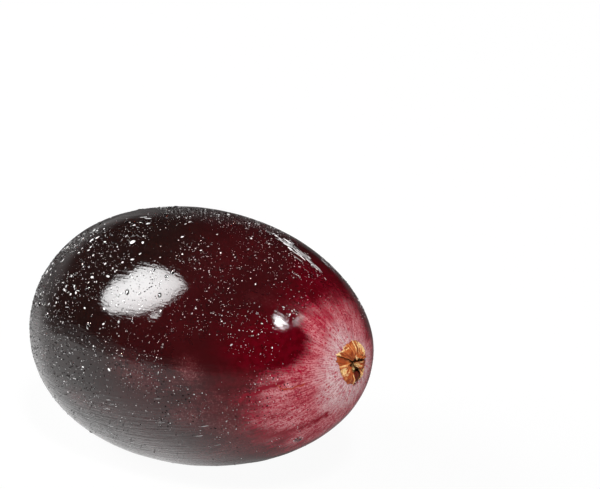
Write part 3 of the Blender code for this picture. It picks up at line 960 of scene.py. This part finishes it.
panels = (
    {"name": "sideSoftbox", "glow": (22.0, 14.0),
     "corners": ((24.9, -79.6), (28, -76.8), (36, -71.5), (43.2, -66.9), (45.5, -65), (49.8, -65.9),
                 (52.3, -69.2), (53.9, -71.7), (55.6, -78.1), (56.3, -85), (55.5, -92.1), (54.1, -95.9),
                 (48.3, -100.5), (41.4, -103.7), (33, -101.2), (26.2, -98.7), (23, -97), (19.8, -92.8),
                 (20.6, -89.2), (21.7, -85.4))},
    {"name": "sideFlag", "glow": (22.0, 22.0),
     "corners": ((28, -106), (32, -105), (34, -106.5), (31.5, -108.5), (28.5, -108.5))},
    {"name": "frontLamp", "glow": (100.0, 85.0),
     "corners": ((57.6, 172.6), (58.5, 168), (57, 165.1), (54.4, 163.1), (51.1, 163.1), (49.1, 166.1),
                 (49.6, 168.9), (51.2, 171.5), (54.1, 173.6))},
    {"name": "frontLampTwo", "glow": (95.0, 80.0),
     "corners": ((56.2, 143), (56.6, 139.4), (55.1, 138.4), (54, 140.8), (54.5, 143.2))},
    {"name": "frontFill", "glow": (82.0, 82.0), "mirrored": False,
     "corners": ((59.3, 174.5), (60.6, 168), (58.4, 163.8), (54.8, 161), (50, 161), (47.1, 165.3),
                 (47.9, 169.3), (50.2, 173), (54.3, 176))},
    {"name": "lowFill", "glow": (7.0, 7.0), "mirrored": False,
     "corners": ((-6, 118), (14, 116), (16, 134), (14, 152), (-6, 150), (-7, 134))},
)
backGlow = {"azimuths": (-60.0, 7.0), "elevations": (-7.0, 21.0), "radiance": 0.52}
panelDistance = 1.2


def lightWay(elevation, azimuth):
    right, _, _ = viewAxes()
    away = Vector((0.0, 0.0, 1.0)).cross(right)
    elevation, azimuth = math.radians(elevation), math.radians(azimuth)
    level = away * math.cos(azimuth) + right * math.sin(azimuth)
    return level * math.cos(elevation) + Vector((0.0, 0.0, math.sin(elevation)))


def glowLook(name, glow):
    # glow is what the piece's attribute "fall" of 0 to 1 turns into: from the first radiance to the second
    look = Look(name, Base_Color=(0.0, 0.0, 0.0, 1.0), Specular_IOR_Level=0.0, Emission_Strength=1.0)
    look.feed("Emission Color", look.grey(glow[0] + look.attribute("fall") * (glow[1] - glow[0])))
    return look.material


def makePanel(panel):
    # rings of points run from the middle of the corners to the edge; the glow falls with distance squared
    corners = np.array([lightWay(*corner) for corner in panel["corners"]])
    edge = np.stack([corners, (corners + np.roll(corners, -1, axis=0)) / 2.0], axis=1).reshape(-1, 3)
    middle, sides, rings = edge.mean(0), len(edge), 7
    out = np.linspace(0.0, 1.0, rings)[1:]
    points = np.vstack([(middle + (edge - middle)[None] * out[:, None, None]).reshape(-1, 3), middle])
    side = np.arange(sides)
    fan = np.stack([side, (side + 1) % sides, np.full(sides, len(points) - 1)], axis=-1)
    faces = ringFaces(rings - 1, sides).tolist() + fan.tolist()
    mirrored = panel.get("mirrored", True)
    points = placed(points * (panelDistance if mirrored else 0.95 * panelDistance))
    piece = meshPiece(panel["name"], points, faces, {"fall": np.append(np.repeat(out, sides), 0.0) ** 2})
    piece.data.materials.append(glowLook(panel["name"], panel["glow"]))
    piece.visible_camera = False
    piece.visible_glossy = piece.visible_shadow = mirrored


def makeBackGlow():
    # a curved low wall of light behind the fruit, fading upwards and to both sides
    azimuth, elevation = np.meshgrid(np.linspace(*backGlow["azimuths"], 25),
                                     np.linspace(*backGlow["elevations"], 17), indexing="ij")
    points = np.array([lightWay(*pair) for pair in zip(elevation.ravel(), azimuth.ravel())])
    rise = (elevation - elevation.min()) / np.ptp(elevation)
    across = (azimuth - azimuth.min()) / np.ptp(azimuth)
    glow = (1.0 - smoothStep(0.1, 1.0, rise)) * smoothStep(0.0, 0.2, across)
    glow = glow * (1.0 - smoothStep(0.7, 1.0, across))
    faces = sheetFaces(*azimuth.shape).tolist()
    piece = meshPiece("backGlow", placed(points * panelDistance), faces, {"fall": glow.ravel()})
    piece.data.materials.append(glowLook("backGlow", (0.0, backGlow["radiance"])))
    piece.visible_camera = False


floor = {
    "radius": 0.6,
    "bright": 0.052,  # how far the glow reaches that lights and mirrors
    "fade": 0.002,
    "glow": 0.95,
    "farGlow": 0.04,
    "albedo": 0.03,
    "drop": 0.01 * mm,
    # in the fruit's gloss the floor is dimmer in some ways, (degrees round from the camera's right, where it
    # begins and ends, strength), and in one spot, (right, back, inner and outer radius, strength): painted
    # shade and a painted contact shadow, seen only in reflections
    "paintedShadeWays": ((-45.0, 0.0, 0.013, 0.68), (40.0, 0.006, 0.016, 0.93), (40.0, -0.003, 0.003, 0.8)),
    "paintedShadowSpot": (3.0 * mm, -3.0 * mm, 1.0 * mm, 6.5 * mm, 0.52),
}


def makeFloor():
    bpy.ops.mesh.primitive_circle_add(vertices=96, radius=floor["radius"], fill_type="NGON",
                                      location=(0.0, 0.0, -floor["drop"]))
    disc = bpy.context.object
    disc.name = "paleFloor"
    look = Look("paleFloor", Roughness=0.6, Specular_IOR_Level=0.1, Emission_Strength=1.0)
    look.shader.inputs["Base Color"].default_value = (floor["albedo"],) * 3 + (1.0,)
    distance = look.measure("LENGTH", look.place())
    near = distance.step(floor["bright"] + floor["fade"], floor["bright"] - floor["fade"])
    seen = look.node("ShaderNodeLightPath", out="Is Camera Ray")
    mirrored = look.node("ShaderNodeLightPath", out="Is Glossy Ray")
    right, _, _ = viewAxes()
    # painted shade: the glow that the fruit's gloss mirrors is dimmed in these ways
    for degrees, first, last, strength in floor["paintedShadeWays"]:
        way = Matrix.Rotation(math.radians(degrees), 3, "Z") @ right
        ahead = look.measure("DOT_PRODUCT", look.place(), tuple(way))
        near = near * (1.0 - mirrored * ahead.step(first, last) * strength)
    # painted shadow: the glow that the fruit's gloss mirrors is dimmed round a spot near the fruit's foot
    across, away, inner, outer, strength = floor["paintedShadowSpot"]
    spot = right * across + Vector((0.0, 0.0, 1.0)).cross(right) * away
    gap = look.measure("DISTANCE", look.place(), tuple(spot))
    near = near * (1.0 - mirrored * gap.step(outer, inner) * strength)
    glow = floor["farGlow"] + seen.maths("MAXIMUM", near) * (floor["glow"] - floor["farGlow"])
    look.feed("Emission Color", look.grey(glow))
    disc.data.materials.append(look.material)


def makeWorld():  # white behind the fruit, nearly dark to all that lights or mirrors
    world = bpy.data.worlds.new("studio")
    bpy.context.scene.world = world
    world.use_nodes = True
    nodes, links = world.node_tree.nodes, world.node_tree.links
    path = nodes.new("ShaderNodeLightPath")
    mix = nodes.new("ShaderNodeMix")
    mix.data_type = "RGBA"
    mix.inputs[6].default_value = (0.012, 0.012, 0.013, 1.0)
    mix.inputs[7].default_value = (1.0, 1.0, 1.0, 1.0)
    links.new(path.outputs["Is Camera Ray"], mix.inputs[0])
    links.new(mix.outputs[2], nodes["Background"].inputs["Color"])
    bpy.context.scene.view_settings.view_transform = "Standard"


makeCamera()
makeWorld()
for panel in panels:
    makePanel(panel)
makeBackGlow()
makeFloor()
print("camera, lights and floor made")
skin = makeSkin()
print("skin made:", len(skin.data.polygons), "faces")
huskMaterial = huskLook()
makeLobes()
makeDish()
print("calyx made")
mistMaterial, waterMaterial = mistLook(), waterLook()
makeDrops(water["dust"], mistMaterial)
makeDrops(water["fine"], mistMaterial)
makeDrops(water["dark"], beadLook())
makeDrops(water["small"], mistMaterial)
makeDrops(water["large"], waterMaterial)
makeNamedDrops("named", "paintedGlintDrops", 0.8, mistMaterial)
makeNamedDrops("hanging", "hangingDrops", 0.0, waterMaterial)
makeRuns("runs", "wetRuns", (0.022, 0.06), (2.0, 8.0), mistMaterial)
makeRuns("flecks", "flecks", (0.014, 0.03), (1.3, 4.0), mistMaterial)
makeRuns("scrapes", "scrapes", (0.012, 0.022), (7.0, 15.0), mistMaterial)
